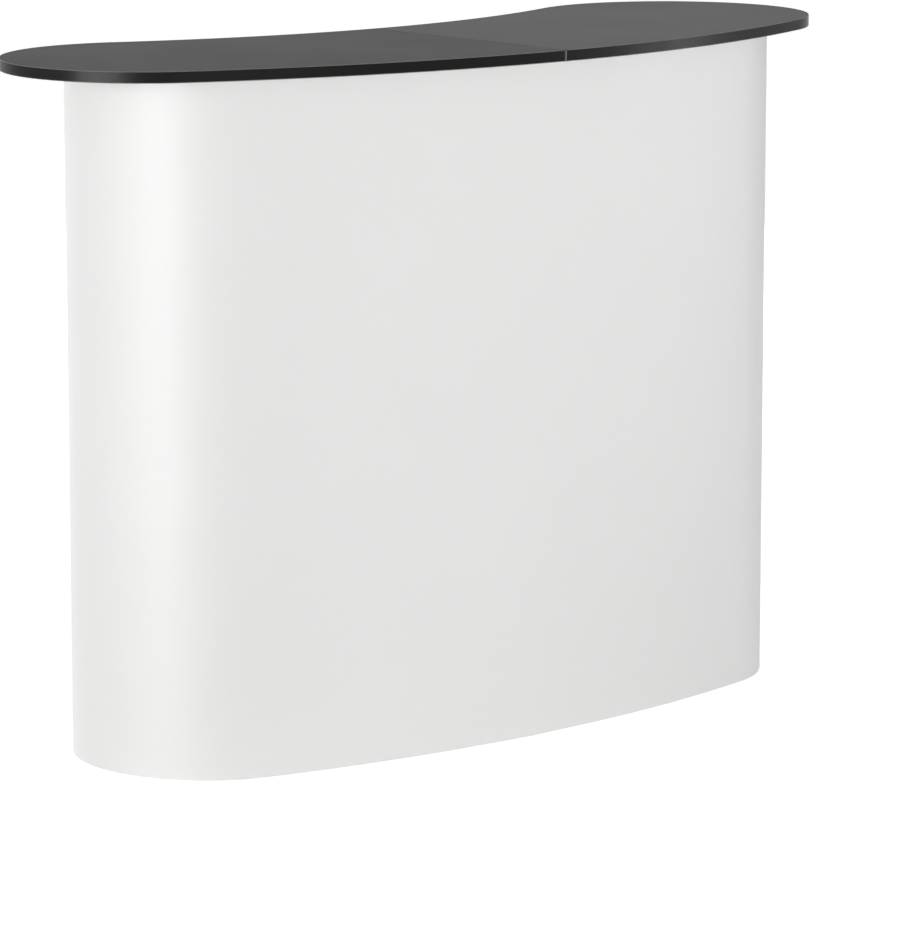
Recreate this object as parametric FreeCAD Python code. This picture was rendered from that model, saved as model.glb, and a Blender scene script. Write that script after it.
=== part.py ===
import FreeCAD, Part
import os
from math import atan2, cos, hypot, pi, sin, sqrt

# A folding display counter. A curved sheet wall hangs on a scissor frame, and a top in two
# hinged leaves rests on the frame's posts. Millimetres, +Z up, front towards -Y. The origin is
# the middle of the base of the counter's bounding box.

# Counter top
COUNTER_HEIGHT = 920.0
TOP_LENGTH = 1300.0
TOP_DEPTH = 388.0
TOP_FRONT_RADIUS = 1350.0
TOP_THICKNESS = 15.0
EDGE_BAND_THICKNESS = 1.0
SEAM_GAP = 0.8

# Hinges under the seam
HINGE_LENGTH = 60.0
HINGE_POST_GAP = 40.0
LEAF_WIDTH = 28.0
LEAF_THICKNESS = 2.0
KNUCKLE_DIAMETER = 7.0
KNUCKLE_COUNT = 5
KNUCKLE_END_GAP = 0.3
KNUCKLE_BOARD_GAP = 0.5
HINGE_PIN_DIAMETER = 4.0
SCREW_DIAMETER = 3.2
SCREW_HEAD_DIAMETER = 6.4
SCREW_SPACING = 20.0
SCREWS_PER_LEAF = 3
SCREW_TIP_COVER = 4.0

# Sheet wall
WALL_LENGTH = 1120.0
WALL_FRONT_RADIUS = 1790.0
WALL_END_RADIUS = 184.0
WALL_INSET = 46.0
WALL_THICKNESS = 1.5
WALL_FLOOR_GAP = 1.0
WALL_TOP_GAP = 2.0
WALL_REAR_LAP = 8.0
MAGNET_WIDTH = 20.0
MAGNET_THICKNESS = 1.5
ADHESIVE_THICKNESS = 0.2

# Posts, rails and the bars that carry the wall
POST_DIAMETER = 22.0
POST_WALL = 1.5
END_POST_OFFSET = 75.0
BAR_WIDTH = 24.0
BAR_WRAP = 4.0
BAR_END_GAP = 10.0
RAIL_WIDTH = 20.0
RAIL_HEIGHT = 14.0
RAIL_WALL = 1.5
RAIL_GAP = 6.0
FOOT_DIAMETER = 30.0
FOOT_HEIGHT = 6.0
FOOT_RAIL_GAP = 11.0
CAP_DIAMETER = 26.0
CAP_HEIGHT = 5.0
PLUG_LENGTH = 16.0

# Scissor arms, brackets and sliders
PIVOT_DROP = 45.0
PIVOT_GAP = 2.0
COLLAR_WALL = 5.0
COLLAR_HEIGHT = 36.0
COLLAR_SKIN_GAP = 2.5
SLIDER_REST_GAP = 4.0
LUG_THICKNESS = 6.0
LUG_RADIUS = 8.0
ARM_WIDTH = 16.0
ARM_THICKNESS = 8.0
ARM_EDGE_ROUND = 1.5
ARM_PLAY = 0.25
FOLDED_GAP = 16.0
PIN_DIAMETER = 6.0
PIN_HEAD_DIAMETER = 11.0
PIN_HEAD_HEIGHT = 2.0

# Shelf in two boards
SHELF_HEIGHT = 458.0
SHELF_THICKNESS = 12.0
SHELF_SEAM_GAP = 1.0
SHELF_POST_GAP = 9.0
SHELF_OVERHANG = 30.0
SHELF_CORNER_RADIUS = 25.0

# Clearances, measured on the radius, and the tolerance for finding an edge by its place
TIGHT_FIT = 0.05
RUNNING_FIT = 0.08
SLIDER_FIT = 0.3
SAME_PLACE = 0.01

Vector = FreeCAD.Vector
UP = Vector(0, 0, 1)
BACK = Vector(0, 1, 0)
FACES = ("front", "back")
SIDES = {"left": -1, "right": 1}

# Top outline: a band of even depth on one centre, closed by half circles
underside = COUNTER_HEIGHT - TOP_THICKNESS
top_end_radius = TOP_DEPTH / 2
top_end_x = TOP_LENGTH / 2 - top_end_radius
top_centre_to_end = sqrt((TOP_FRONT_RADIUS - top_end_radius) ** 2 - top_end_x ** 2)
overall_depth = TOP_FRONT_RADIUS - top_centre_to_end + top_end_radius
front_y = -overall_depth / 2
top_centre = Vector(0, front_y + TOP_FRONT_RADIUS, 0)
top_sweep = atan2(top_end_x, top_centre_to_end)

# Wall outline: a flatter front arc that runs into round ends
wall_front_y = front_y + WALL_INSET
wall_centre = Vector(0, wall_front_y + WALL_FRONT_RADIUS, 0)
wall_end_x = WALL_LENGTH / 2 - WALL_END_RADIUS
wall_centre_to_end = sqrt((WALL_FRONT_RADIUS - WALL_END_RADIUS) ** 2 - wall_end_x ** 2)
wall_end_y = wall_centre.y - wall_centre_to_end
wall_sweep = atan2(wall_end_x, wall_centre_to_end)

# Post places: every wall post stands the same way off the sheet
post_radius = POST_DIAMETER / 2
collar_radius = post_radius + COLLAR_WALL
skin_standoff = collar_radius + COLLAR_SKIN_GAP
post_to_outside = skin_standoff + WALL_THICKNESS
bar_reach = skin_standoff - ADHESIVE_THICKNESS - MAGNET_THICKNESS
end_post_x = wall_end_x + END_POST_OFFSET
end_post_circle = WALL_END_RADIUS - post_to_outside
half_frame_depth = sqrt(end_post_circle ** 2 - END_POST_OFFSET ** 2)
frame_depth = 2 * half_frame_depth
centre_front_y = wall_front_y + post_to_outside
end_front_y = wall_end_y - half_frame_depth
rear_post_angle = atan2(half_frame_depth, END_POST_OFFSET)
wall_rear_angle = rear_post_angle + (BAR_WIDTH / 2 + WALL_REAR_LAP) / WALL_END_RADIUS
post_base = FOOT_HEIGHT
post_top = underside - CAP_HEIGHT

# Scissor cells: pivots at the top stay, the lower ones ride on sliders
cell_run = end_post_x
cell_rise = end_front_y - centre_front_y
cell_width = hypot(cell_run, cell_rise)
pin_radius = PIN_DIAMETER / 2
pin_head_radius = PIN_HEAD_DIAMETER / 2
pivot_offset = collar_radius + ARM_WIDTH / 2 + PIVOT_GAP
open_spacing = cell_width - 2 * pivot_offset
folded_spacing = LUG_RADIUS + ARM_WIDTH / 2 + FOLDED_GAP
pivot_top = underside - PIVOT_DROP
foot_rail_z = FOOT_HEIGHT + FOOT_RAIL_GAP + RAIL_HEIGHT / 2
slider_folded_z = foot_rail_z + RAIL_HEIGHT / 2 + SLIDER_REST_GAP + COLLAR_HEIGHT / 2
arm_length = hypot(folded_spacing, pivot_top - slider_folded_z)
slider_open_z = pivot_top - sqrt(arm_length ** 2 - open_spacing ** 2)
arm_outer_face = ARM_PLAY + ARM_THICKNESS
head_seat = arm_outer_face + ARM_PLAY
fold_angle = atan2(pivot_top - slider_folded_z, folded_spacing)
fold_angle -= atan2(pivot_top - slider_open_z, open_spacing)

# Rails and shelf
top_rail_z = pivot_top - COLLAR_HEIGHT / 2 - RAIL_GAP - RAIL_HEIGHT / 2
shelf_rail_z = SHELF_HEIGHT - RAIL_HEIGHT / 2
arm_stack = max(post_radius, head_seat + PIN_HEAD_HEIGHT)
bar_low = slider_open_z + COLLAR_HEIGHT / 2 + BAR_END_GAP
bar_high = pivot_top - COLLAR_HEIGHT / 2 - BAR_END_GAP

# Hinge axis under the seam
knuckle_radius = KNUCKLE_DIAMETER / 2
hinge_axis_z = underside - KNUCKLE_BOARD_GAP - knuckle_radius
hinge_pin_radius = HINGE_PIN_DIAMETER / 2
screw_depth = TOP_THICKNESS - SCREW_TIP_COVER


def rod(base, axis, reach, radius):
    """Solid rod along an axis, from reach[0] to reach[1] past its base point."""
    return Part.makeCylinder(radius, reach[1] - reach[0], base + axis * reach[0], axis)


def slab(base, along, across, reach, spread, height):
    """Block over a plan rectangle, with (from, to) pairs along, across and in height."""
    corners = []
    for u, v in ((0, 0), (1, 0), (1, 1), (0, 1)):
        corners.append(base + along * reach[u] + across * spread[v] + UP * height[0])
    outline = Part.makePolygon(corners + corners[:1])
    return Part.Face(outline).extrude(UP * (height[1] - height[0]))


def arc_edge(start, middle, finish):
    return Part.Arc(start, middle, finish).toShape()


def line_edge(start, finish):
    return Part.LineSegment(start, finish).toShape()


def on_circle(centre, radius, angle):
    """Point of a plan circle, with its angle from +X towards +Y."""
    return centre + Vector(cos(angle), sin(angle), 0) * radius


def plan_solid(edges, low, high):
    """Upright solid over a closed plan outline."""
    face = Part.Face(Part.Wire(edges))
    face.translate(UP * low)
    return face.extrude(UP * (high - low))


def join(solids):
    """One solid from touching or crossing solids."""
    joined = solids[0].multiFuse(solids[1:])
    return joined.removeSplitter()


def side_vector(x, y, side):
    return Vector(side * x, y, 0)


def post_point(name, face):
    """Plan place of a post's axis."""
    y = centre_front_y if name == "centre" else end_front_y
    if face == "back":
        y += frame_depth
    return Vector(SIDES.get(name, 0) * end_post_x, y, 0)


def cell_along(side):
    """Plan direction of a scissor cell, from the middle post to an end post."""
    return side_vector(cell_run, cell_rise, side) * (1 / cell_width)


def cell_normal(side, face):
    """Plan normal of a scissor cell, pointing out of the counter."""
    normal = side_vector(cell_rise, -cell_run, side) * (1 / cell_width)
    return normal if face == "front" else normal * -1


def cell_pivots(side, face):
    """Pivot points of one cell: middle top, end top, middle low, end low."""
    along = cell_along(side)
    name = "left" if side < 0 else "right"
    middle = post_point("centre", face) + along * pivot_offset
    end = post_point(name, face) - along * pivot_offset
    high = UP * pivot_top
    low = UP * slider_open_z
    return middle + high, end + high, middle + low, end + low


def top_half_outline(side, inset):
    """Plan outline of one leaf of the top, drawn in from its edges by an inset."""
    front_radius = TOP_FRONT_RADIUS - inset
    back_radius = TOP_FRONT_RADIUS - TOP_DEPTH + inset
    end_radius = top_end_radius - inset
    seam_x = SEAM_GAP / 2 + inset
    end_centre = Vector(side * top_end_x, top_centre.y - top_centre_to_end, 0)

    def on_band(radius, sweep):
        return top_centre + side_vector(sin(sweep), -cos(sweep), side) * radius

    def seam_point(radius):
        return Vector(side * seam_x, top_centre.y - sqrt(radius ** 2 - seam_x ** 2), 0)

    tip = end_centre + side_vector(cos(top_sweep), sin(top_sweep), side) * end_radius
    front_end = on_band(front_radius, top_sweep)
    back_end = on_band(back_radius, top_sweep)
    return [
        arc_edge(seam_point(front_radius), on_band(front_radius, top_sweep / 2), front_end),
        arc_edge(front_end, tip, back_end),
        arc_edge(back_end, on_band(back_radius, top_sweep / 2), seam_point(back_radius)),
        line_edge(seam_point(back_radius), seam_point(front_radius)),
    ]


def hinge_middles():
    """Plan y of each hinge's middle, set off from the two middle posts."""
    reach = HINGE_POST_GAP + HINGE_LENGTH / 2
    return [centre_front_y + reach, centre_front_y + frame_depth - reach]


def screw_points(side):
    """Plan points of the screws in one side's hinge leaves."""
    points = []
    for y in hinge_middles():
        for i in range(SCREWS_PER_LEAF):
            step = (i - (SCREWS_PER_LEAF - 1) / 2) * SCREW_SPACING
            points.append(Vector(side * (LEAF_WIDTH + knuckle_radius) / 2, y + step, 0))
    return points


def screw(point, grow):
    """Countersunk screw from the leaf's lower face up into the board, grown on the radius."""
    base = point + UP * (underside - LEAF_THICKNESS)
    shank_radius = SCREW_DIAMETER / 2 + grow
    head_radius = SCREW_HEAD_DIAMETER / 2 + grow
    head = Part.makeCone(head_radius, shank_radius, LEAF_THICKNESS, base, UP)
    shank = rod(base, UP, (LEAF_THICKNESS, LEAF_THICKNESS + screw_depth + grow), shank_radius)
    return head.fuse(shank)


def top_board(side):
    board = plan_solid(top_half_outline(side, EDGE_BAND_THICKNESS), underside, COUNTER_HEIGHT)
    return board.cut([screw(point, TIGHT_FIT) for point in screw_points(side)])


def top_edge_band(side):
    outside = plan_solid(top_half_outline(side, 0), underside, COUNTER_HEIGHT)
    inside = plan_solid(top_half_outline(side, EDGE_BAND_THICKNESS), underside, COUNTER_HEIGHT)
    return outside.cut(inside)


def hinge_leaf(side, middle_y):
    """One leaf with its share of the knuckles, seated on the board's underside."""
    along = Vector(side, 0, 0)
    across = BACK
    base = Vector(0, middle_y, 0)
    leaf_low = underside - LEAF_THICKNESS
    half = HINGE_LENGTH / 2
    neck = knuckle_radius + KNUCKLE_BOARD_GAP
    solids = [slab(base, along, across, (neck, LEAF_WIDTH), (-half, half), (leaf_low, underside))]
    pitch = HINGE_LENGTH / KNUCKLE_COUNT
    first = 0 if side < 0 else 1
    for i in range(first, KNUCKLE_COUNT, 2):
        span = (i * pitch - half + KNUCKLE_END_GAP / 2, (i + 1) * pitch - half - KNUCKLE_END_GAP / 2)
        solids.append(rod(base + UP * hinge_axis_z, across, span, knuckle_radius))
        solids.append(slab(base, along, across, (0, neck + LEAF_THICKNESS), span, (hinge_axis_z, underside)))
    bore = rod(base + UP * hinge_axis_z, across, (-half, half), hinge_pin_radius + RUNNING_FIT)
    return join(solids).cut(bore)


def hinge_leaves(side):
    leaves = Part.makeCompound([hinge_leaf(side, y) for y in hinge_middles()])
    return leaves.cut([screw(point, TIGHT_FIT) for point in screw_points(side)])


def hinge_pins():
    half = HINGE_LENGTH / 2
    pins = []
    for y in hinge_middles():
        base = Vector(0, y, hinge_axis_z)
        pins.append(rod(base, BACK, (-half, half), hinge_pin_radius))
    return Part.makeCompound(pins)


def wall_panel():
    """The sheet: front arc and round ends, open at the back."""
    inner = WALL_THICKNESS
    left_end = Vector(-wall_end_x, wall_end_y, 0)
    right_end = Vector(wall_end_x, wall_end_y, 0)
    front_left = -pi / 2 - wall_sweep
    front_right = -pi / 2 + wall_sweep
    right_rear = wall_rear_angle
    left_rear = -pi - wall_rear_angle
    skins = []
    for depth in (0, inner):
        front = WALL_FRONT_RADIUS - depth
        end = WALL_END_RADIUS - depth
        left_middle = (left_rear + front_left) / 2
        right_middle = (front_right + right_rear) / 2
        skins.append([
            (left_end, end, left_rear, left_middle, front_left),
            (wall_centre, front, front_left, -pi / 2, front_right),
            (right_end, end, front_right, right_middle, right_rear),
        ])
    edges = []
    for skin in skins:
        for centre, radius, *angles in skin:
            edges.append(arc_edge(*[on_circle(centre, radius, angle) for angle in angles]))
    for end_centre, angle in ((left_end, left_rear), (right_end, right_rear)):
        outside = on_circle(end_centre, WALL_END_RADIUS, angle)
        edges.append(line_edge(outside, on_circle(end_centre, WALL_END_RADIUS - inner, angle)))
    loop = Part.__sortEdges__(edges)
    return plan_solid(loop, WALL_FLOOR_GAP, underside - WALL_TOP_GAP)


def skin_circle(name):
    """Centre and radius of the wall's inner face beside a frame's posts."""
    if name == "centre":
        return wall_centre, WALL_FRONT_RADIUS - WALL_THICKNESS
    end_centre = side_vector(wall_end_x, wall_end_y, SIDES[name])
    return end_centre, WALL_END_RADIUS - WALL_THICKNESS


def skin_faces(name):
    """Faces on which a frame's posts carry the wall: the back of the middle stays open."""
    return ("front",) if name == "centre" else FACES


def skin_direction(name, face):
    """Plan direction from a post straight to the wall."""
    centre = skin_circle(name)[0]
    return (post_point(name, face) - centre).normalize()


def wall_bar(name, face):
    """Clip-on bar between a post and the wall, grooved to sit on the post."""
    post = post_point(name, face)
    along = skin_direction(name, face)
    across = Vector(-along.y, along.x, 0)
    half = BAR_WIDTH / 2
    bar = slab(post, along, across, (post_radius - BAR_WRAP, bar_reach), (-half, half), (bar_low, bar_high))
    return bar.cut(rod(post, UP, (bar_low, bar_high), post_radius + TIGHT_FIT))


def wall_magnet(name, face):
    """Magnetic strip on the wall's inner face, flat towards the bar."""
    post = post_point(name, face)
    along = skin_direction(name, face)
    across = Vector(-along.y, along.x, 0)
    half = MAGNET_WIDTH / 2
    past_skin = skin_standoff + WALL_THICKNESS
    strip = slab(post, along, across, (bar_reach, past_skin), (-half, half), (bar_low, bar_high))
    centre, radius = skin_circle(name)
    return strip.common(rod(centre, UP, (bar_low, bar_high), radius - ADHESIVE_THICKNESS))


def post(name, face):
    base = post_point(name, face)
    outside = rod(base, UP, (post_base, post_top), post_radius)
    return outside.cut(rod(base, UP, (post_base, post_top), post_radius - POST_WALL))


def rail(name, z):
    """Square tube from the front post to the back post, coped to both."""
    front = post_point(name, "front")
    back = post_point(name, "back")
    across = Vector(1, 0, 0)
    blocks = []
    for shrink in (0, RAIL_WALL):
        half_width = RAIL_WIDTH / 2 - shrink
        half_height = RAIL_HEIGHT / 2 - shrink
        blocks.append(slab(front, BACK, across, (0, frame_depth), (-half_width, half_width),
                           (z - half_height, z + half_height)))
    tube = blocks[0].cut(blocks[1])
    return tube.cut([rod(point, UP, (post_base, post_top), post_radius) for point in (front, back)])


def plug_on_flange(point, flange_z, plug_z, diameter):
    """Moulded end piece: a round flange and a plug inside the post."""
    flange = rod(point, UP, flange_z, diameter / 2)
    plug = rod(point, UP, plug_z, post_radius - POST_WALL - TIGHT_FIT)
    return flange.fuse(plug)


def foot(name, face):
    plug = (post_base, post_base + PLUG_LENGTH)
    return plug_on_flange(post_point(name, face), (0, post_base), plug, FOOT_DIAMETER)


def cap(name, face):
    plug = (post_top - PLUG_LENGTH, post_top)
    return plug_on_flange(post_point(name, face), (post_top, underside), plug, CAP_DIAMETER)


def frame_cells(name):
    """Cells that meet at a frame, each with the direction that a lug points in."""
    if name == "centre":
        return [(side, cell_along(side)) for side in SIDES.values()]
    side = SIDES[name]
    return [(side, cell_along(side) * -1)]


def top_layer(name):
    """Arm layer at a frame's top brackets: outer arms hang from the middle, inner from the ends."""
    return 1 if name == "centre" else -1


def collar(name, face, z, layer, bore_fit):
    """Moulded collar round a post, with a lug for each arm that pivots on it."""
    base = post_point(name, face)
    span = (z - COLLAR_HEIGHT / 2, z + COLLAR_HEIGHT / 2)
    solids = [rod(base, UP, span, collar_radius)]
    holes = [rod(base, UP, span, post_radius + bore_fit)]
    for side, along in frame_cells(name):
        outward = cell_normal(side, face) * layer
        pivot = base + along * pivot_offset + UP * z
        solids.append(slab(base, along, outward, (0, pivot_offset), (-LUG_THICKNESS, 0),
                           (z - LUG_RADIUS, z + LUG_RADIUS)))
        solids.append(rod(pivot, outward, (-LUG_THICKNESS, 0), LUG_RADIUS))
        holes.append(rod(pivot, outward, (-LUG_THICKNESS, 0), pin_radius + TIGHT_FIT))
    return join(solids).cut(holes)


def pivot_pins(name, face, z, layer):
    """Headed pins through a collar's lugs and the arms beside them."""
    base = post_point(name, face)
    pins = []
    for side, along in frame_cells(name):
        outward = cell_normal(side, face) * layer
        pivot = base + along * pivot_offset + UP * z
        shaft = rod(pivot, outward, (-LUG_THICKNESS, head_seat), pin_radius)
        inner_head = rod(pivot, outward, (-LUG_THICKNESS - PIN_HEAD_HEIGHT, -LUG_THICKNESS), pin_head_radius)
        outer_head = rod(pivot, outward, (head_seat, head_seat + PIN_HEAD_HEIGHT), pin_head_radius)
        pins.append(join([shaft, inner_head, outer_head]))
    return pins


def arm(start, finish, outward, crossing_fit):
    """Flat arm with round ends, drilled at both ends and in the middle."""
    along = (finish - start).normalize()
    half = ARM_WIDTH / 2
    beside = along.cross(outward) * half
    edges = [
        line_edge(start + beside, finish + beside),
        arc_edge(finish + beside, finish + along * half, finish - beside),
        line_edge(finish - beside, start - beside),
        arc_edge(start - beside, start - along * half, start + beside),
    ]
    face = Part.Face(Part.Wire(edges))
    face.translate(outward * ARM_PLAY)
    blank = face.extrude(outward * ARM_THICKNESS)
    blank = blank.makeFillet(ARM_EDGE_ROUND, rim_edges(blank, outward))
    middle = (start + finish) * 0.5
    span = (ARM_PLAY, arm_outer_face)
    holes = [rod(point, outward, span, pin_radius + RUNNING_FIT) for point in (start, finish)]
    holes.append(rod(middle, outward, span, pin_radius + crossing_fit))
    return blank.cut(holes)


def rim_edges(blank, outward):
    """Edges of a flat blank that lie in its near or far face."""
    levels = [edge.CenterOfMass.dot(outward) for edge in blank.Edges]
    near, far = min(levels), max(levels)
    rims = zip(blank.Edges, levels)
    return [edge for edge, level in rims if min(level - near, far - level) < SAME_PLACE]


def crossing_rivet(side, face):
    """Headed rivet where the two arms of a cell cross, fixed in the outer arm."""
    middle_top, end_top, middle_low, end_low = cell_pivots(side, face)
    crossing = (middle_top + end_low) * 0.5
    outward = cell_normal(side, face)
    shaft = rod(crossing, outward, (-head_seat, arm_outer_face), pin_radius)
    outer_head = rod(crossing, outward, (arm_outer_face, arm_outer_face + PIN_HEAD_HEIGHT), pin_head_radius)
    inner_head = rod(crossing, outward, (-head_seat - PIN_HEAD_HEIGHT, -head_seat), pin_head_radius)
    return join([shaft, outer_head, inner_head])


def shelf_board(side):
    """One board of the shelf, between the two scissor planes."""
    slope = cell_rise / cell_run
    set_in = (arm_stack + SHELF_POST_GAP) * cell_width / cell_run
    seam_x = SHELF_SEAM_GAP / 2
    end_x = end_post_x + SHELF_OVERHANG
    front = centre_front_y + set_in
    back = centre_front_y + frame_depth - set_in
    corners = [(seam_x, front), (end_x, front), (end_x, back), (seam_x, back)]
    points = [side_vector(x, y + x * slope, side) for x, y in corners]
    edges = [line_edge(points[i], points[(i + 1) % len(points)]) for i in range(len(points))]
    board = plan_solid(edges, SHELF_HEIGHT, SHELF_HEIGHT + SHELF_THICKNESS)
    outer = [edge for edge in board.Edges if is_outer_corner(edge, end_x)]
    return board.makeFillet(SHELF_CORNER_RADIUS, outer)


def is_outer_corner(edge, end_x):
    """True for an upright edge at a shelf board's outer end."""
    upright = edge.BoundBox.ZLength > SHELF_THICKNESS / 2
    return upright and abs(abs(edge.CenterOfMass.x) - end_x) < SAME_PLACE


def top_nodes():
    nodes = {"hinge_pins": hinge_pins()}
    for name, side in SIDES.items():
        nodes[f"top_{name}_board"] = top_board(side)
        nodes[f"top_{name}_edge_band"] = top_edge_band(side)
        nodes[f"hinge_leaves_{name}"] = hinge_leaves(side)
        nodes[f"hinge_screws_{name}"] = Part.makeCompound([screw(point, 0) for point in screw_points(side)])
        nodes[f"shelf_{name}"] = shelf_board(side)
    return nodes


def frame_nodes(name):
    """Posts, rails, end pieces, bars, brackets and sliders of one upright frame."""
    layer = top_layer(name)
    nodes = {f"{name}_{face}_post": post(name, face) for face in FACES}
    nodes[f"{name}_shelf_rail"] = rail(name, shelf_rail_z)
    groups = {
        "cross_rails": [rail(name, foot_rail_z), rail(name, top_rail_z)],
        "feet": [foot(name, face) for face in FACES],
        "caps": [cap(name, face) for face in FACES],
        "wall_bars": [wall_bar(name, face) for face in skin_faces(name)],
        "top_brackets": [collar(name, face, pivot_top, layer, TIGHT_FIT) for face in FACES],
        "bracket_pins": [pin for face in FACES for pin in pivot_pins(name, face, pivot_top, layer)],
        "sliders": [collar(name, face, slider_open_z, -layer, SLIDER_FIT) for face in FACES],
        "slider_pins": [pin for face in FACES for pin in pivot_pins(name, face, slider_open_z, -layer)],
    }
    for group, solids in groups.items():
        nodes[f"{name}_{group}"] = Part.makeCompound(solids)
    return nodes


def cell_nodes(name, side, face):
    """The two arms of one scissor cell and the rivet where they cross."""
    middle_top, end_top, middle_low, end_low = cell_pivots(side, face)
    outward = cell_normal(side, face)
    return {
        f"{face}_{name}_outer_arm": arm(middle_top, end_low, outward, TIGHT_FIT),
        f"{face}_{name}_inner_arm": arm(end_top, middle_low, outward * -1, RUNNING_FIT),
        f"{face}_{name}_rivet": crossing_rivet(side, face),
    }


def wall_nodes():
    strips = [wall_magnet(name, face) for name in ("centre", "left", "right") for face in skin_faces(name)]
    return {"wall_panel": wall_panel(), "wall_magnets": Part.makeCompound(strips)}


def build_nodes():
    """Every node of the counter by name."""
    nodes = {**top_nodes(), **wall_nodes()}
    for name in ("centre", "left", "right"):
        nodes.update(frame_nodes(name))
    for name, side in SIDES.items():
        for face in FACES:
            nodes.update(cell_nodes(name, side, face))
    return nodes


def main():
    os.makedirs("parts", exist_ok=True)
    for name, shape in build_nodes().items():
        shape.exportStep(f"parts/{name}.step")


if __name__ == "__main__":
    main()
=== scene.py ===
from math import asin, atan2, cos, pi, radians, sqrt

import bmesh
import bpy
from mathutils import Matrix, Vector


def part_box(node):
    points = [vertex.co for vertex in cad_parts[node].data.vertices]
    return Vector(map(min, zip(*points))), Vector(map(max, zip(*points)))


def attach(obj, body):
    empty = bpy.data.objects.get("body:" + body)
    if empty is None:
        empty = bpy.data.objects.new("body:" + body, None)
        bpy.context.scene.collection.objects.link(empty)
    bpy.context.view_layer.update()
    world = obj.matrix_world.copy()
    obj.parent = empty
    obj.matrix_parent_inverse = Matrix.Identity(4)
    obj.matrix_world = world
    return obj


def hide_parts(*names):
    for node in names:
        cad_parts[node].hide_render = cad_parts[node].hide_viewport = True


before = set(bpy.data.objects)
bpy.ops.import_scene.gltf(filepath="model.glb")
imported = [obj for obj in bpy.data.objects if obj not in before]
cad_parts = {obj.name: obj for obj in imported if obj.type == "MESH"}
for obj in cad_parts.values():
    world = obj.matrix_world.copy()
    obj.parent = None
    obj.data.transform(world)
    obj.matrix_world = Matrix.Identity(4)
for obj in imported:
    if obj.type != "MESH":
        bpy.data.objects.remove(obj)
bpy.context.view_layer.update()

# A folding display counter: a black top in two hinged leaves over a white curved sheet wall, on a
# scissor frame with a shelf. Metres, +Z up, front towards -Y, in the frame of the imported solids.

# Counter top
COUNTER_HEIGHT = 0.920
TOP_LENGTH = 1.300
TOP_DEPTH = 0.388
TOP_FRONT_RADIUS = 1.350
TOP_THICKNESS = 0.015
BOARD_EDGE_ROUND = 0.00012
EDGE_STRIP = 0.001
EDGE_ROUND = 0.0008
SEAM_GAP = 0.0008
SEAM_CORNER_ROUND = 0.0011
# Rims nearer the seam than this keep the strip's own black, without the painted highlight
SEAM_RIM_UNHIGHLIGHTED = 0.004

# Sheet wall
WALL_LENGTH = 1.120
WALL_FRONT_RADIUS = 1.790
WALL_END_RADIUS = 0.184
WALL_INSET = 0.046
WALL_THICKNESS = 0.0015
WALL_EDGE_ROUND = 0.0004
WALL_LOW = 0.001
WALL_HIGH = 0.903
WALL_REAR_LAP = 0.020

# Shelf
SHELF_LOW = 0.458
SHELF_THICKNESS = 0.012
SHELF_CORNER = 0.025

# Feet, caps, brackets and sliders
POST_RADIUS = 0.011
END_POST_OFFSET = 0.075
FOOT_RADIUS = 0.015
FOOT_HEIGHT = 0.006
CAP_RADIUS = 0.013
CAP_HEIGHT = 0.005
COLLAR_RADIUS = 0.016
COLLAR_HALF = 0.018
COLLAR_WAIST = 0.0007
BRACKET_BORE = 0.01105
SLIDER_BORE = 0.0113
PIVOT_OFFSET = 0.026
LUG_THICKNESS = 0.006
LUG_RADIUS = 0.008
LUG_ROOT = 0.0035
LUG_EDGE_ROUND = 0.0009
BUTTON_ROOT = 0.002

# Pins and screws
PIN_RADIUS = 0.003
PIN_HEAD_RADIUS = 0.0055
PIN_HEAD_HEIGHT = 0.002
ARM_OUTER_FACE = 0.00825
HEAD_SEAT = 0.0085
RAIL_SCREW_RADIUS = 0.0042
RAIL_SCREW_HEIGHT = 0.0022
RAIL_SCREW_SEAT = 0.0006
BRACKET_SCREW_RADIUS = 0.0035
BRACKET_SCREW_HEIGHT = 0.0018
BRACKET_SCREW_SEAT = 0.0011
HINGE_SCREW_RADIUS = 0.0032
HINGE_SCREW_HEIGHT = 0.0008
HINGE_SCREW_SPACING = 0.020
HINGE_SCREWS = 3

# Steps in a turn, and the angle past which an edge is a corner or a crease
FRONT_STEPS = 60
BACK_STEPS = 48
END_STEPS = 96
CORNER_ANGLE = radians(60)
CREASE_ANGLE = radians(38)

# Range of a noise that sets colour and gloss
NOISE_LOW = 0.3
NOISE_HIGH = 0.7

# Light of the room, and the floor's glow where it is seen, which rises with the distance
ROOM_LIGHT = 0.45
ROOM_LIGHT_OVERHEAD = 0.1
ROOM_FADE_END = 0.8
FLOOR_HALF = 40
FLOOR_GLOW = 0.65
FLOOR_GLOW_FAR = 0.85
GLOW_RISE_START = 1.0
GLOW_RISE_END = 6.0

# Lamps: place, width, height, watts, gleam. The gleam lamps stand lower than the top, so that it stays
# matt from every side.
LAMP_AIM = (0, 0, 0.45)
LAMPS = {
    "left_fill": ((-4.27, 1.72, 0.55), 2.4, 2.4, 149, False),
    "front_fill": ((-0.95, -4.91, 0.55), 2.0, 2.4, 191, False),
    "back_fill": ((3.05, 3.64, 1.4), 2.4, 2.0, 115, False),
    "left_gleam": ((-4.48, -1.03, 0.45), 2.6, 0.9, 250, True),
    "right_gleam": ((3.98, -2.30, 0.45), 0.35, 0.9, 36, True),
}

# Camera
CAMERA_PLACE = (-4.31123, -5.00337, 1.55538)
CAMERA_FALL = 10.490
CAMERA_TURN = -40.813
CAMERA_LENS = 190.03
CAMERA_SENSOR = 36.0
CAMERA_REACH = 200.0

SIDES = {"left": -1, "right": 1}
FRAMES = ("centre", "left", "right")
FACES = ("front", "back")
UP = Vector((0, 0, 1))

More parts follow.
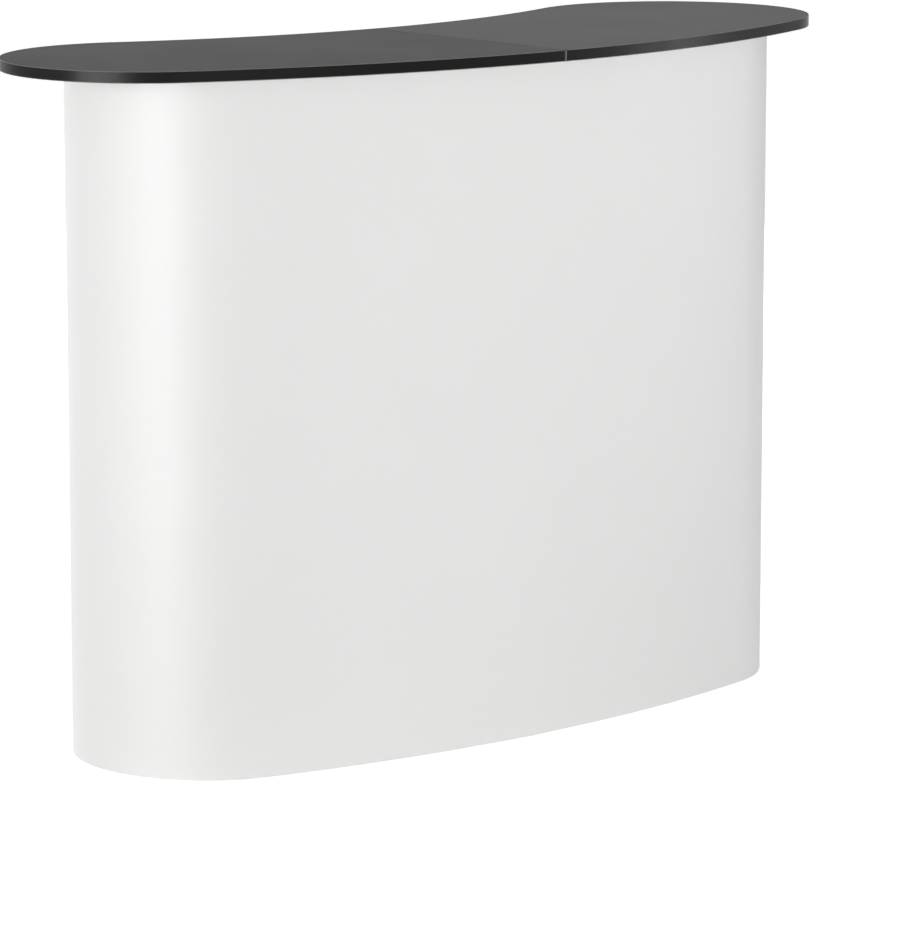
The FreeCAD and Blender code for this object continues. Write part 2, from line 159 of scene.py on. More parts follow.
# Plan of the top: a band of even depth on one centre, closed by half circles
underside = COUNTER_HEIGHT - TOP_THICKNESS
top_end_radius = TOP_DEPTH / 2
top_end_x = TOP_LENGTH / 2 - top_end_radius
top_centre_to_end = sqrt((TOP_FRONT_RADIUS - top_end_radius) ** 2 - top_end_x ** 2)
front_y = -(TOP_FRONT_RADIUS - top_centre_to_end + top_end_radius) / 2
top_centre_y = front_y + TOP_FRONT_RADIUS
top_end_y = top_centre_y - top_centre_to_end
top_sweep = atan2(top_end_x, top_centre_to_end)

# Plan of the wall: a flatter front arc that runs into round ends
wall_centre_y = front_y + WALL_INSET + WALL_FRONT_RADIUS
wall_end_x = WALL_LENGTH / 2 - WALL_END_RADIUS
wall_centre_to_end = sqrt((WALL_FRONT_RADIUS - WALL_END_RADIUS) ** 2 - wall_end_x ** 2)
wall_end_y = wall_centre_y - wall_centre_to_end
wall_sweep = atan2(wall_end_x, wall_centre_to_end)


# Places on the frame

def middle(node):
    """Middle of a solid's box."""
    low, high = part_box(node)
    return (low + high) / 2


def post_place(name, face):
    """Plan place of a post's axis."""
    place = middle(f"{name}_{face}_post")
    return Vector((place.x, place.y, 0))


def cell_run():
    """Distance in plan from the middle post to an end post."""
    return (post_place("right", "front") - post_place("centre", "front")).length


def cell_along(side):
    """Plan direction of a scissor cell, from the middle post to an end post."""
    name = "left" if side < 0 else "right"
    return (post_place(name, "front") - post_place("centre", "front")).normalized()


def cell_normal(side, face):
    """Plan normal of a scissor cell, pointing out of the counter."""
    along = cell_along(side)
    out = Vector((along.y, -along.x, 0)) * side
    return out if face == "front" else -out


def frame_cells(name):
    """Cells that meet at a frame, each with the direction that a lug points in."""
    if name == "centre":
        return [(side, cell_along(side)) for side in SIDES.values()]
    side = SIDES[name]
    return [(side, -cell_along(side))]


def arm_along(name, side, way):
    """Direction of a scissor arm, from the middle frame to an end frame."""
    fall = (middle(f"{name}_sliders") - middle("centre_top_brackets")).z
    level = cell_along(side) * (cell_run() - 2 * PIVOT_OFFSET)
    return level.x, level.y, fall if way == "outer" else -fall


def axes(origin, x_axis, y_axis, z_axis):
    """Matrix that takes a shape's own axes to these directions at this place."""
    turn = Matrix((x_axis, y_axis, z_axis)).transposed().to_4x4()
    return Matrix.Translation(origin) @ turn


def facing(origin, direction):
    """Matrix that takes a shape's own Z axis to this direction."""
    return Matrix.Translation(origin) @ direction.to_track_quat("Z", "Y").to_matrix().to_4x4()


# Materials

def linear(hex_colour):
    """An sRGB hex colour as linear RGBA."""
    channels = [int(hex_colour[i:i + 2], 16) / 255 for i in (1, 3, 5)]
    return [c / 12.92 if c <= 0.04045 else ((c + 0.055) / 1.055) ** 2.4 for c in channels] + [1.0]


def add_node(tree, kind, settings=None, values=None, links=None):
    """Adds a node with its own settings, its inputs' values and the links that feed its inputs."""
    made = tree.nodes.new("ShaderNode" + kind)
    for name, value in (settings or {}).items():
        setattr(made, name, value)
    for name, value in (values or {}).items():
        made.inputs[name].default_value = value
    for name, (source, output) in (links or {}).items():
        tree.links.new(source.outputs[output], made.inputs[name])
    return made


def finish(name, colours, grain_mm, patch_mm, roughness, relief_mm, metallic=0.0, ior=1.5, specular=0.5,
           along=(1, 0, 0), edge_mm=0.0, colour_by="grain"):
    """A surface with a fine grain, run along one direction, and broad patches of more and less gloss.
    Grain and patch sizes and the grain's relief are in millimetres on the real piece."""
    material = bpy.data.materials.new(name)
    material.use_nodes = True
    tree = material.node_tree
    tree.nodes.clear()
    place = add_node(tree, "TexCoord")
    turn = Vector(along).to_track_quat("X", "Z").to_euler()
    noises = {}
    for word, size in (("grain", grain_mm), ("patch", patch_mm)):
        mapped = add_node(tree, "Mapping", {"vector_type": "TEXTURE"},
                          {"Rotation": turn, "Scale": [step / 1000 for step in size]},
                          {"Vector": (place, "Object")})
        noises[word] = add_node(tree, "TexNoise", None, {"Scale": 1.0, "Detail": 3.0, "Roughness": 0.55},
                                {"Vector": (mapped, "Vector")})
    tint = add_node(tree, "MapRange", None, {"From Min": NOISE_LOW, "From Max": NOISE_HIGH},
                    {"Value": (noises[colour_by], "Fac")})
    colour = add_node(tree, "Mix", {"data_type": "RGBA"}, {6: linear(colours[0]), 7: linear(colours[1])},
                      {0: (tint, "Result")})
    gloss = add_node(tree, "MapRange", None,
                     {"From Min": NOISE_LOW, "From Max": NOISE_HIGH,
                      "To Min": roughness[0], "To Max": roughness[1]},
                     {"Value": (noises["patch"], "Fac")})
    feeds = {"Height": (noises["grain"], "Fac")}
    if edge_mm:
        rounded = add_node(tree, "Bevel", {"samples": 4}, {"Radius": edge_mm / 1000})
        feeds["Normal"] = (rounded, "Normal")
    relief = add_node(tree, "Bump", None, {"Strength": 1.0, "Distance": relief_mm / 1000}, feeds)
    shader = add_node(tree, "BsdfPrincipled", None,
                      {"Metallic": metallic, "IOR": ior, "Specular IOR Level": specular},
                      {"Base Color": (colour, 2), "Roughness": (gloss, "Result"),
                       "Normal": (relief, "Normal")})
    add_node(tree, "OutputMaterial", None, None, {"Surface": (shader, "BSDF")})
    return material


def melamine_board(name, roughness, specular):
    """Melamine-faced board, pressed against a fine pebbled plate: an even black that greys in a low, soft
    sheen. The pebble is about 0.4 mm and is drawn at 1.2 mm, so that it shows in a close view."""
    return finish(f"black_melamine_{name}", ("#222221", "#292928"), (1.2, 1.2, 1.2), (240, 240, 240),
                  roughness, 0.010, ior=1.48, specular=specular)


def anodised_aluminium(name, along):
    """Extruded aluminium, satin anodised: pale metal with fine die lines along its length and soft edges.
    The lines are a few tenths of a millimetre apart and are drawn at 0.7 mm."""
    return finish(f"satin_anodised_aluminium_{name}", ("#c6c8ca", "#b3b6b9"), (160, 0.7, 0.7), (60, 8, 8),
                  (0.28, 0.40), 0.003, metallic=1.0, along=along, edge_mm=0.6)


# The boards come from different sheets: the right leaf shines a little more, and the seam shows as a
# step in tone.
melamine_leaf = {"left": melamine_board("left_leaf", (0.57, 0.61), 0.25),
                 "right": melamine_board("right_leaf", (0.53, 0.57), 0.28)}
melamine_shelf = melamine_board("shelf", (0.56, 0.60), 0.26)

# Extruded ABS edge strip, trimmed flush: smoother than the board, with faint lines along its length.
edge_strip_abs = finish("black_abs_edge_strip", ("#161616", "#1c1c1b"), (90, 90, 0.9), (70, 70, 70),
                        (0.30, 0.36), 0.006, ior=1.5, specular=0.065)

# The same strip on its eased rims and seam corners, painted paler grey: a painted highlight for the light
# these round edges catch, together with the pale of trimmed ABS. It shows as a thin grey line.
pale_edge_abs_painted_highlight = finish("abs_edge_painted_highlight", ("#6e6e6c", "#7c7c7a"), (6, 6, 6), (40, 40, 40),
                     (0.50, 0.56), 0.002, ior=1.5, specular=0.3)

# Rigid PVC sheet, calendered and left satin: an even white with a wide soft sheen and a faint orange peel.
# The peel is about 1 mm and is drawn at 3 mm, so that it shows in a close view.
pvc_sheet = finish("white_pvc_sheet", ("#ebeceb", "#eaebea"), (3, 3, 3), (260, 260, 260),
                   (0.42, 0.45), 0.006, ior=1.53, specular=0.16, colour_by="patch")

# Flexible magnetic tape: matt dark brown rubber with the faint lines of its extrusion.
magnet_tape = finish("magnetic_rubber_tape", ("#2a2523", "#1f1c1b"), (1, 1, 60), (12, 12, 12),
                     (0.72, 0.85), 0.02, ior=1.5)

# Moulded glass-filled nylon: black with a fine spark-eroded grain, drawn at 0.8 mm, and a dull sheen.
nylon = finish("black_moulded_nylon", ("#1a1b1c", "#232425"), (0.8, 0.8, 0.8), (9, 9, 9),
               (0.42, 0.54), 0.02, ior=1.53)

# Zinc-plated steel: bright, slightly mottled metal with a soft shine.
zinc_steel = finish("zinc_plated_steel", ("#c3c5c2", "#acafad"), (1.6, 1.6, 1.6), (6, 6, 6),
                    (0.24, 0.38), 0.003, metallic=1.0, edge_mm=0.3)

aluminium_upright = anodised_aluminium("upright", (0, 0, 1))
aluminium_rail = anodised_aluminium("rail", (0, 1, 0))


# Making pieces

def piece(name, bm, body, materials, replaced=()):
    """Makes a finished shape a piece that rides on a body and stands for these solids."""
    for face in bm.faces:
        face.smooth = True
    mesh = bpy.data.meshes.new(name)
    bm.to_mesh(mesh)
    bm.free()
    mesh.set_sharp_from_angle(angle=CREASE_ANGLE)
    for material in materials:
        mesh.materials.append(material)
    made = bpy.data.objects.new(name, mesh)
    bpy.context.scene.collection.objects.link(made)
    shading = made.modifiers.new("even_shading", "WEIGHTED_NORMAL")
    shading.keep_sharp = True
    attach(made, body)
    if replaced:
        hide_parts(*replaced)


def put(target, shape, matrix):
    """Takes a finished shape to its place in a piece."""
    bmesh.ops.transform(shape, matrix=matrix, verts=shape.verts)
    if matrix.determinant() < 0:
        bmesh.ops.reverse_faces(shape, faces=shape.faces)
    mesh = bpy.data.meshes.new("shape")
    shape.to_mesh(mesh)
    shape.free()
    target.from_mesh(mesh)
    bpy.data.meshes.remove(mesh)


def only(kind, geometry):
    """The points, edges or faces in what an operator gives."""
    return [item for item in geometry if isinstance(item, kind)]


def sweep(bm, point, centre, angle, steps):
    """Turns a point about an upright axis and gives the point where the arc ends."""
    arc = bmesh.ops.spin(bm, geom=[point], cent=(centre[0], centre[1], point.co.z), axis=UP, angle=angle,
                         steps=steps)
    return only(bmesh.types.BMVert, arc["geom_last"])[0]


def raise_faces(bm, faces, travel):
    """Pulls faces out along a vector into a closed solid."""
    bmesh.ops.extrude_face_region(bm, geom=faces, use_keep_orig=True)
    moved = {corner for face in faces for corner in face.verts}
    bmesh.ops.translate(bm, vec=travel, verts=list(moved))
    bmesh.ops.recalc_face_normals(bm, faces=bm.faces)


def bevel(bm, edges, width, segments):
    """Rounds edges and gives the new faces."""
    return bmesh.ops.bevel(bm, geom=edges, offset=width, offset_type="OFFSET", segments=segments, profile=0.5,
                           affect="EDGES", material=-1)["faces"]


def corner_edges(bm):
    """Edges between two faces that meet at a clear corner."""
    return [edge for edge in bm.edges if len(edge.link_faces) == 2 and edge.calc_face_angle() > CORNER_ANGLE]


def upright_edges(bm, height):
    """Edges that run up a board of this height."""
    return [edge for edge in bm.edges if abs(edge.verts[0].co.z - edge.verts[1].co.z) > height / 2]


def turned(profile, steps=40, closed=False):
    """A shape turned on the Z axis from (radius, height) points."""
    bm = bmesh.new()
    points = [bm.verts.new((radius, 0, height)) for radius, height in profile]
    pairs = list(zip(points, points[1:]))
    if closed:
        pairs.append((points[-1], points[0]))
    lines = [bm.edges.new(pair) for pair in pairs]
    bmesh.ops.spin(bm, geom=points + lines, cent=(0, 0, 0), axis=UP, angle=2 * pi, steps=steps,
                   use_merge=True)
    bmesh.ops.remove_doubles(bm, verts=bm.verts, dist=1e-6)
    bmesh.ops.recalc_face_normals(bm, faces=bm.faces)
    return bm


# Counter top

def leaf_face(bm, side, inset):
    """Plan face of one leaf of the top, drawn in from its edges by an inset."""
    front_radius = TOP_FRONT_RADIUS - inset
    back_radius = TOP_FRONT_RADIUS - TOP_DEPTH + inset
    seam_x = SEAM_GAP / 2 + inset
    front_start = asin(seam_x / front_radius)
    back_finish = asin(seam_x / back_radius)
    centre = (0, top_centre_y)
    first = bm.verts.new((side * seam_x, top_centre_y - sqrt(front_radius ** 2 - seam_x ** 2), underside))
    point = sweep(bm, first, centre, side * (top_sweep - front_start), FRONT_STEPS)
    point = sweep(bm, point, (side * top_end_x, top_end_y), side * pi, END_STEPS)
    point = sweep(bm, point, centre, -side * (top_sweep - back_finish), BACK_STEPS)
    bmesh.ops.contextual_create(bm, geom=[point, first])
    return bmesh.ops.contextual_create(bm, geom=bm.edges[:])["faces"]


def top_board(name, side):
    """The board of one leaf: flat laminate with a hair line where the strip meets it."""
    bm = bmesh.new()
    raise_faces(bm, leaf_face(bm, side, EDGE_STRIP), UP * TOP_THICKNESS)
    uprights = set(upright_edges(bm, TOP_THICKNESS))
    bevel(bm, [edge for edge in bm.edges if edge not in uprights], BOARD_EDGE_ROUND, segments=1)
    piece(f"top_{name}_laminate", bm, f"top_{name}", [melamine_leaf[name]],
          [f"top_{name}_board"])


def is_outer_rim(edge):
    """True for an edge between the strip's outer face and its upper or lower face."""
    faces = edge.link_faces
    if len(faces) != 2:
        return False
    flat = [face for face in faces if abs(face.normal.z) > 0.9]
    upright = [face for face in faces if abs(face.normal.z) < 0.1]
    if len(flat) != 1 or len(upright) != 1:
        return False
    inward = flat[0].calc_center_median() - upright[0].calc_center_median()
    return upright[0].normal.dot(inward) < 0


def edge_strip(name, side):
    """The strip round one leaf, with eased edges and round corners at the seam."""
    bm = bmesh.new()
    whole = leaf_face(bm, side, 0)
    bmesh.ops.inset_region(bm, faces=whole, thickness=EDGE_STRIP, use_even_offset=True, use_boundary=True)
    bmesh.ops.delete(bm, geom=whole, context="FACES_ONLY")
    raise_faces(bm, bm.faces[:], UP * TOP_THICKNESS)
    outer_seam = side * SEAM_GAP / 2
    corners = [edge for edge in upright_edges(bm, TOP_THICKNESS)
               if abs(edge.verts[0].co.x - outer_seam) < 1e-6]
    # Seam corners and outer rims take the paler colour: a painted highlight for the light these round edges
    # catch, with the pale of trimmed ABS
    for face in bevel(bm, corners, SEAM_CORNER_ROUND, segments=5):
        face.material_index = 1
    for face in bevel(bm, [edge for edge in bm.edges if is_outer_rim(edge)], EDGE_ROUND, segments=3):
        face.material_index = 1 if abs(face.calc_center_median().x) > SEAM_RIM_UNHIGHLIGHTED else 0
    piece(f"top_{name}_edge_strip", bm, f"top_{name}", [edge_strip_abs, pale_edge_abs_painted_highlight],
          [f"top_{name}_edge_band"])


# Sheet wall

def sheet_wall():
    """One sheet bent round the front and both ends, open at the back, with eased edges."""
    bm = bmesh.new()
    half_depth = (post_place("left", "back").y - post_place("left", "front").y) / 2
    rear = atan2(half_depth, END_POST_OFFSET) + WALL_REAR_LAP / WALL_END_RADIUS
    end_turn = pi / 2 - wall_sweep + rear
    arm = Vector((-cos(rear), 0, 0)) * WALL_END_RADIUS
    start = Vector((-wall_end_x, wall_end_y, WALL_LOW)) + arm
    start.y += sqrt(WALL_END_RADIUS ** 2 - arm.x ** 2)
    point = bm.verts.new(start)
    point = sweep(bm, point, (-wall_end_x, wall_end_y), end_turn, END_STEPS)
    point = sweep(bm, point, (0, wall_centre_y), 2 * wall_sweep, END_STEPS)
    sweep(bm, point, (wall_end_x, wall_end_y), end_turn, END_STEPS)
    raised = bmesh.ops.extrude_edge_only(bm, edges=bm.edges[:])
    bmesh.ops.translate(bm, vec=UP * (WALL_HIGH - WALL_LOW), verts=only(bmesh.types.BMVert, raised["geom"]))
    bm.normal_update()
    outside = min(bm.faces, key=lambda face: face.calc_center_median().y)
    if outside.normal.y > 0:
        bmesh.ops.reverse_faces(bm, faces=bm.faces)
    bmesh.ops.solidify(bm, geom=bm.faces[:], thickness=WALL_THICKNESS)
    bm.normal_update()
    bevel(bm, corner_edges(bm), WALL_EDGE_ROUND, segments=2)
    piece("wall_sheet", bm, "centre_frame", [pvc_sheet], ["wall_panel"])


# Shelf

def shelf_board(name, side):
    """One board of the shelf: laminate faces, edge strip round its rim, eased edges."""
    low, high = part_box(f"shelf_{name}")
    slope = cell_along(1).y / cell_along(1).x
    seam_x, end_x = sorted((abs(low.x), abs(high.x)))
    front = low.y - seam_x * slope
    back = high.y - end_x * slope
    bm = bmesh.new()
    corners = []
    for x, y in ((seam_x, front), (end_x, front), (end_x, back), (seam_x, back)):
        corners.append(bm.verts.new((side * x, y + x * slope, SHELF_LOW)))
    raise_faces(bm, [bm.faces.new(corners)], UP * SHELF_THICKNESS)
    outer = [edge for edge in upright_edges(bm, SHELF_THICKNESS) if abs(edge.verts[0].co.x) > end_x / 2]
    bevel(bm, outer, SHELF_CORNER, segments=12)
    for face in bm.faces:
        face.material_index = 0 if abs(face.normal.z) > 0.5 else 1
    bevel(bm, corner_edges(bm), EDGE_ROUND, segments=2)
    piece(f"shelf_{name}_board", bm, "centre_frame", [melamine_shelf, edge_strip_abs],
          [f"shelf_{name}"])


# Frame fittings

def foot():
    """Moulded foot: round pad with an eased tread and a small step under the post."""
    r, h = FOOT_RADIUS, FOOT_HEIGHT
    return turned([(0, 0.0004), (r * 0.55, 0.0004), (r * 0.6, 0), (r - 0.0015, 0), (r - 0.0004, 0.0005),
                   (r, 0.0016), (r, h - 0.0016), (r - 0.0004, h - 0.0005), (r - 0.0014, h), (0, h)])


def cap():
    """Moulded cap that carries the top: a flange with an eased rim and a shallow dish."""
    r, h = CAP_RADIUS, CAP_HEIGHT
    return turned([(0, 0), (r - 0.0008, 0), (r - 0.0002, 0.0002), (r, 0.0008), (r, h - 0.0012),
                   (r - 0.0004, h - 0.0004), (r - 0.0012, h), (r * 0.5, h), (r * 0.45, h - 0.0005),
                   (0, h - 0.0005)])


def collar(bore):
    """Moulded ring round a post, waisted between two rims."""
    r, h, waist = COLLAR_RADIUS, COLLAR_HALF, COLLAR_RADIUS - COLLAR_WAIST
    half = [(r, 0.0095), (r, h - 0.0016), (r - 0.0005, h - 0.0005), (r - 0.0016, h), (bore + 0.0006, h),
            (bore, h - 0.0006)]
    lower = [(radius, -height) for radius, height in reversed(half)]
    return turned(lower + [(waist, -0.0088), (waist, 0.0088)] + half, steps=48, closed=True)


def lug():
    """Moulded lug for one pivot: X along the arm's plane, Y out to the arm, with a round end."""
    bm = bmesh.new()
    root = COLLAR_RADIUS - LUG_ROOT
    first = bm.verts.new((root, -LUG_THICKNESS, -LUG_RADIUS))
    second = bm.verts.new((PIVOT_OFFSET, -LUG_THICKNESS, -LUG_RADIUS))
    bm.edges.new((first, second))
    end = bmesh.ops.spin(bm, geom=[second], cent=(PIVOT_OFFSET, 0, 0), axis=(0, 1, 0), angle=-pi, steps=20)
    third = only(bmesh.types.BMVert, end["geom_last"])[0]
    fourth = bm.verts.new((root, -LUG_THICKNESS, LUG_RADIUS))
    bm.edges.new((third, fourth))
    bm.edges.new((fourth, first))
    face = bmesh.ops.contextual_create(bm, geom=bm.edges[:])["faces"]
    raise_faces(bm, face, Vector((0, LUG_THICKNESS, 0)))
    bevel(bm, corner_edges(bm), LUG_EDGE_ROUND, segments=2)
    return bm


def lock_button():
    """Round push button with a stepped base, pointing along Z from the collar's axis."""
    base = COLLAR_RADIUS - BUTTON_ROOT
    rise = [(0, 0), (0.0062, 0), (0.0062, 0.0032), (0.0058, 0.0036), (0.0045, 0.0036), (0.0045, 0.0078),
            (0.0041, 0.0086), (0.0032, 0.0089), (0, 0.0087)]
    return turned([(radius, base + height) for radius, height in rise], steps=32)


def headed_pin(low, high):
    """Pin along Z with a domed, dimpled head below low and above high."""
    r, head, rise = PIN_RADIUS, PIN_HEAD_RADIUS, PIN_HEAD_HEIGHT
    half = [(r, 0), (head, 0), (head, rise * 0.45), (head - 0.0005, rise * 0.75), (head - 0.0016, rise),
            (0.0018, rise), (0.0013, rise * 0.8), (0, rise * 0.75)]
    lower = [(radius, low - height) for radius, height in reversed(half)]
    upper = [(radius, high + height) for radius, height in half]
    return turned(lower + upper, steps=32)


def cross_head(radius, height):
    """Domed screw head along Z with a cross recess, in shares of its radius and height."""
    bm = bmesh.new()
    cross_reach, cross_half, dome_start = radius * 0.52, radius * 0.2, radius * 0.66
    bmesh.ops.create_grid(bm, x_segments=3, y_segments=3, size=cross_reach)
    off_cross = [face for face in bm.faces if min(map(abs, face.calc_center_median().xy)) > cross_half]
    bmesh.ops.delete(bm, geom=off_cross, context="FACES")
    loose = [corner for corner in bm.verts if not corner.link_faces]
    bmesh.ops.delete(bm, geom=loose, context="VERTS")
    bmesh.ops.translate(bm, vec=UP * height, verts=bm.verts)
    pit = bm.faces[:]
    cross_edges = [edge for edge in bm.edges if edge.is_boundary]
    ring = bmesh.ops.create_circle(bm, segments=24, radius=dome_start,
                                   matrix=Matrix.Translation(UP * height))
    ring_edges = list({edge for corner in ring["verts"] for edge in corner.link_edges})
    bmesh.ops.bridge_loops(bm, edges=cross_edges + ring_edges)
    for spread, drop in ((1.22, 0.14), (1.16, 0.3), (1.07, 0.56)):
        grown = bmesh.ops.extrude_edge_only(bm, edges=ring_edges)
        corners = only(bmesh.types.BMVert, grown["geom"])
        bmesh.ops.scale(bm, vec=(spread, spread, 1), verts=corners)
        bmesh.ops.translate(bm, vec=UP * (-drop * height), verts=corners)
        ring_edges = [edge for edge in only(bmesh.types.BMEdge, grown["geom"]) if edge.is_boundary]
    sunk = bmesh.ops.extrude_face_region(bm, geom=pit)
    bmesh.ops.delete(bm, geom=pit, context="FACES")
    bmesh.ops.contextual_create(bm, geom=ring_edges)
    corners = only(bmesh.types.BMVert, sunk["geom"])
    bmesh.ops.scale(bm, vec=(0.7, 0.7, 1), verts=corners)
    bmesh.ops.translate(bm, vec=UP * (-0.6 * height), verts=corners)
    bmesh.ops.recalc_face_normals(bm, faces=bm.faces)
    return bm


def rail_heights(name):
    """Heights of the middles of a frame's shelf rail, foot rail and top rail."""
    shelf_low, shelf_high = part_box(f"{name}_shelf_rail")
    cross_low, cross_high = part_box(f"{name}_cross_rails")
    half = (shelf_high.z - shelf_low.z) / 2
    return [(shelf_low.z + shelf_high.z) / 2, cross_low.z + half, cross_high.z - half]


def frame_fittings(name):
    """Feet, caps, brackets, sliders and their pins and screws on one upright frame."""
    body = f"{name}_frame"
    pair = f"{name}_slider_pair"
    layer = 1 if name == "centre" else -1
    feet, caps, screws = bmesh.new(), bmesh.new(), bmesh.new()
    brackets, bracket_pins = bmesh.new(), bmesh.new()
    sliders, slider_pins = bmesh.new(), bmesh.new()
    groups = (("top_brackets", brackets, bracket_pins, BRACKET_BORE, layer),
              ("sliders", sliders, slider_pins, SLIDER_BORE, -layer))
    for face in FACES:
        base = post_place(name, face)
        inward = Vector((0, 1 if face == "front" else -1, 0))
        put(feet, foot(), Matrix.Translation(base))
        put(caps, cap(), Matrix.Translation(base + UP * (underside - CAP_HEIGHT)))
        for height in rail_heights(name):
            seat = base - inward * (POST_RADIUS - RAIL_SCREW_SEAT) + UP * height
            put(screws, cross_head(RAIL_SCREW_RADIUS, RAIL_SCREW_HEIGHT), facing(seat, -inward))
        for group, rings, pins, bore, turn in groups:
            hub = base + UP * middle(f"{name}_{group}").z
            put(rings, collar(bore), Matrix.Translation(hub))
            if group == "sliders":
                put(rings, lock_button(), facing(hub, inward))
            else:
                seat = hub + inward * (COLLAR_RADIUS - BRACKET_SCREW_SEAT)
                put(screws, cross_head(BRACKET_SCREW_RADIUS, BRACKET_SCREW_HEIGHT), facing(seat, inward))
            for side, along in frame_cells(name):
                out = cell_normal(side, face) * turn
                put(rings, lug(), axes(hub, along, out, UP))
                put(pins, headed_pin(-LUG_THICKNESS, HEAD_SEAT), facing(hub + along * PIVOT_OFFSET, out))
    piece(f"{name}_moulded_feet", feet, body, [nylon], [f"{name}_feet"])
    piece(f"{name}_moulded_caps", caps, body, [nylon], [f"{name}_caps"])
    piece(f"{name}_cross_screws", screws, body, [zinc_steel])
    piece(f"{name}_bracket_mouldings", brackets, body, [nylon], [f"{name}_top_brackets"])
    piece(f"{name}_bracket_pivots", bracket_pins, body, [zinc_steel], [f"{name}_bracket_pins"])
    piece(f"{name}_slider_mouldings", sliders, pair, [nylon], [f"{name}_sliders"])
    piece(f"{name}_slider_pivots", slider_pins, pair, [zinc_steel], [f"{name}_slider_pins"])


def crossing_rivet(name, side, face):
    """Headed rivet where the two arms of a cell cross."""
    bm = bmesh.new()
    place = facing(middle(f"{face}_{name}_rivet"), cell_normal(side, face))
    put(bm, headed_pin(-HEAD_SEAT, ARM_OUTER_FACE), place)
    piece(f"{face}_{name}_crossing_rivet", bm, f"{face}_{name}_outer", [zinc_steel],
          [f"{face}_{name}_rivet"])


def hinge_screws(name):
    """Countersunk screws of one side's hinge leaves, seen as cross heads flush with the leaf."""
    low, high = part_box(f"hinge_screws_{name}")
    bm = bmesh.new()
    x = (low.x + high.x) / 2
    for start, step in ((low.y + HINGE_SCREW_RADIUS, 1), (high.y - HINGE_SCREW_RADIUS, -1)):
        for i in range(HINGE_SCREWS):
            seat = Vector((x, start + step * i * HINGE_SCREW_SPACING, low.z + HINGE_SCREW_HEIGHT))
            put(bm, cross_head(HINGE_SCREW_RADIUS, HINGE_SCREW_HEIGHT), facing(seat, -UP))
    piece(f"hinge_{name}_cross_screws", bm, f"top_{name}", [zinc_steel],
          [f"hinge_screws_{name}"])


def coat(node, material):
    """Gives a solid that stays its finish."""
    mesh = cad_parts[node].data
    mesh.materials.clear()
    mesh.materials.append(material)


def dress_frame():
    """Fittings on each frame, and a finish for every solid that stays."""
    for name in FRAMES:
        frame_fittings(name)
        for face in FACES:
            coat(f"{name}_{face}_post", aluminium_upright)
        coat(f"{name}_wall_bars", aluminium_upright)
        coat(f"{name}_shelf_rail", aluminium_rail)
        coat(f"{name}_cross_rails", aluminium_rail)
    for name, side in SIDES.items():
        for way in ("outer", "inner"):
            arm_metal = anodised_aluminium(f"{name}_{way}_arm", arm_along(name, side, way))
            for face in FACES:
                coat(f"{face}_{name}_{way}_arm", arm_metal)
        for face in FACES:
            crossing_rivet(name, side, face)
        coat(f"hinge_leaves_{name}", zinc_steel)
        hinge_screws(name)
    coat("hinge_pins", zinc_steel)
    coat("wall_magnets", magnet_tape)


# Stage, light and camera

def seen_directly(tree):
    """1 for what the camera sees itself, in a reflection or through glass, 0 for what only gives light."""
    path = add_node(tree, "LightPath")
    seen = add_node(tree, "Math", {"operation": "ADD"}, None,
                    {0: (path, "Is Camera Ray"), 1: (path, "Is Glossy Ray")})
    return add_node(tree, "Math", {"operation": "ADD", "use_clamp": True}, None,
                    {0: (seen, "Value"), 1: (path, "Is Transmission Ray")})


def white_room():
    """Light from all round, strongest near the horizon so that the overhang casts little shade, seen as
    plain white."""
    world = bpy.data.worlds.new("white_room")
    bpy.context.scene.world = world
    world.use_nodes = True
    tree = world.node_tree
    tree.nodes.clear()
    seen = seen_directly(tree)
    way = add_node(tree, "TexCoord")
    height = add_node(tree, "SeparateXYZ", None, None, {"Vector": (way, "Generated")})
    fade = add_node(tree, "MapRange", None,
                    {"From Min": 0.0, "From Max": ROOM_FADE_END,
                     "To Min": ROOM_LIGHT, "To Max": ROOM_LIGHT_OVERHEAD},
                    {"Value": (height, "Z")})
    light = add_node(tree, "Background", None, {"Color": linear("#ffffff")}, {"Strength": (fade, "Result")})
    white = add_node(tree, "Background", None, {"Color": linear("#ffffff"), "Strength": 1.0})
    mixed = add_node(tree, "MixShader", None, None,
                     {0: (seen, "Value"), 1: (light, "Background"), 2: (white, "Background")})
    add_node(tree, "OutputWorld", None, None, {"Surface": (mixed, "Shader")})


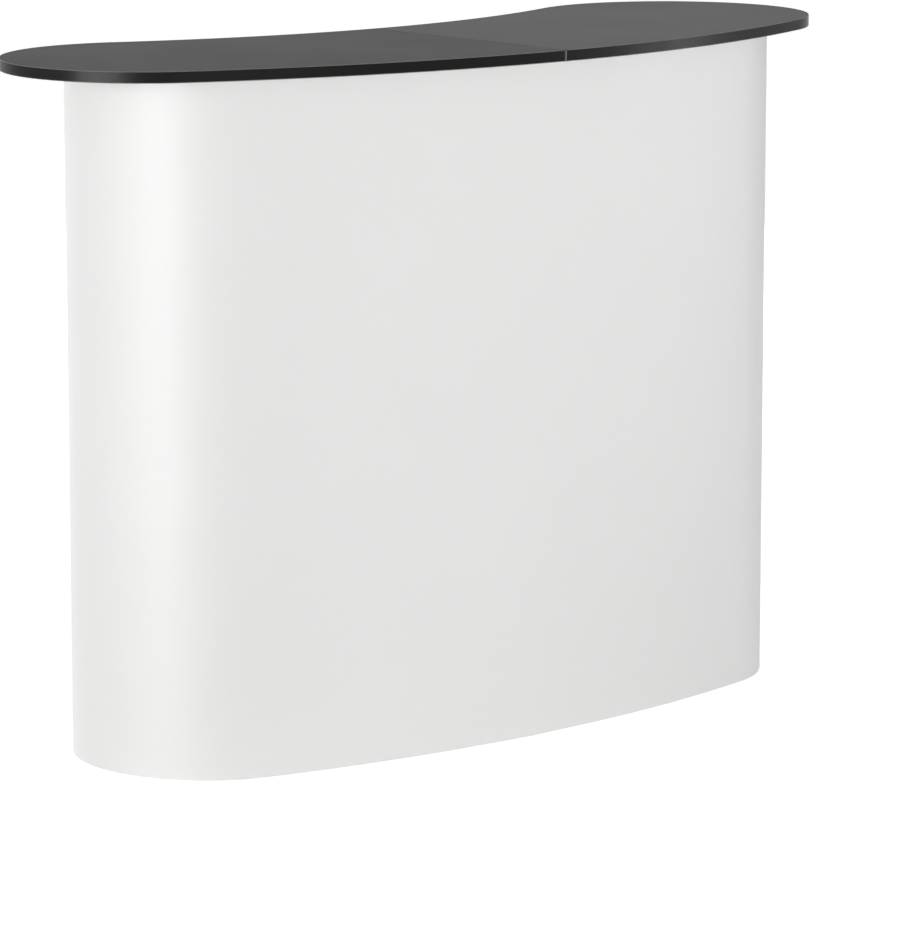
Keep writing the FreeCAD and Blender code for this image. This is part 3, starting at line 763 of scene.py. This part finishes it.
def floor_paint():
    """Painted board that keeps the counter's soft shadow and is seen as white beyond it. Its glow is for
    the eye alone."""
    material = bpy.data.materials.new("white_painted_floor")
    material.use_nodes = True
    tree = material.node_tree
    tree.nodes.clear()
    seen = seen_directly(tree)
    paint = add_node(tree, "BsdfDiffuse", None, {"Color": linear("#e8e8e6")})
    shade = add_node(tree, "BsdfDiffuse", None, {"Color": linear("#ffffff")})
    place = add_node(tree, "TexCoord")
    away = add_node(tree, "VectorMath", {"operation": "LENGTH"}, None, {0: (place, "Object")})
    rise = add_node(tree, "MapRange", None,
                    {"From Min": GLOW_RISE_START, "From Max": GLOW_RISE_END,
                     "To Min": FLOOR_GLOW, "To Max": FLOOR_GLOW_FAR},
                    {"Value": (away, "Value")})
    glow = add_node(tree, "Emission", None, {"Color": linear("#ffffff")}, {"Strength": (rise, "Result")})
    lit = add_node(tree, "AddShader", None, None, {0: (shade, "BSDF"), 1: (glow, "Emission")})
    mixed = add_node(tree, "MixShader", None, None,
                     {0: (seen, "Value"), 1: (paint, "BSDF"), 2: (lit, "Shader")})
    add_node(tree, "OutputMaterial", None, None, {"Surface": (mixed, "Shader")})
    return material


def pale_floor():
    """One flat floor under the counter."""
    bm = bmesh.new()
    bmesh.ops.create_grid(bm, x_segments=1, y_segments=1, size=FLOOR_HALF)
    mesh = bpy.data.meshes.new("floor")
    bm.to_mesh(mesh)
    bm.free()
    mesh.materials.append(floor_paint())
    floor = bpy.data.objects.new("floor", mesh)
    bpy.context.scene.collection.objects.link(floor)


def softbox(name, place, width, height, watts, gleam):
    """Flat lamp turned to the counter. A gleam lamp gives highlights alone, and any other only fills."""
    lamp = bpy.data.lights.new(name, "AREA")
    lamp.shape = "RECTANGLE"
    lamp.size = width
    lamp.size_y = height
    lamp.energy = watts
    made = bpy.data.objects.new(name, lamp)
    made.location = place
    made.rotation_euler = (Vector(LAMP_AIM) - Vector(place)).to_track_quat("-Z", "Y").to_euler()
    made.visible_diffuse = not gleam
    made.visible_glossy = gleam
    bpy.context.scene.collection.objects.link(made)


def photo_camera():
    """Camera at the photograph's viewing angle, level across and a little above the top."""
    view = bpy.data.cameras.new("photo_view")
    view.sensor_fit = "AUTO"
    view.sensor_width = CAMERA_SENSOR
    view.lens = CAMERA_LENS
    view.clip_end = CAMERA_REACH
    camera = bpy.data.objects.new("photo_view", view)
    camera.location = CAMERA_PLACE
    camera.rotation_euler = (radians(90 - CAMERA_FALL), 0, radians(CAMERA_TURN))
    bpy.context.scene.collection.objects.link(camera)
    bpy.context.scene.camera = camera


def main():
    bpy.context.scene.view_settings.view_transform = "Standard"
    photo_camera()
    white_room()
    pale_floor()
    for name, lamp in LAMPS.items():
        softbox(name, *lamp)
    for name, side in SIDES.items():
        top_board(name, side)
        edge_strip(name, side)
        shelf_board(name, side)
    sheet_wall()
    dress_frame()


main()
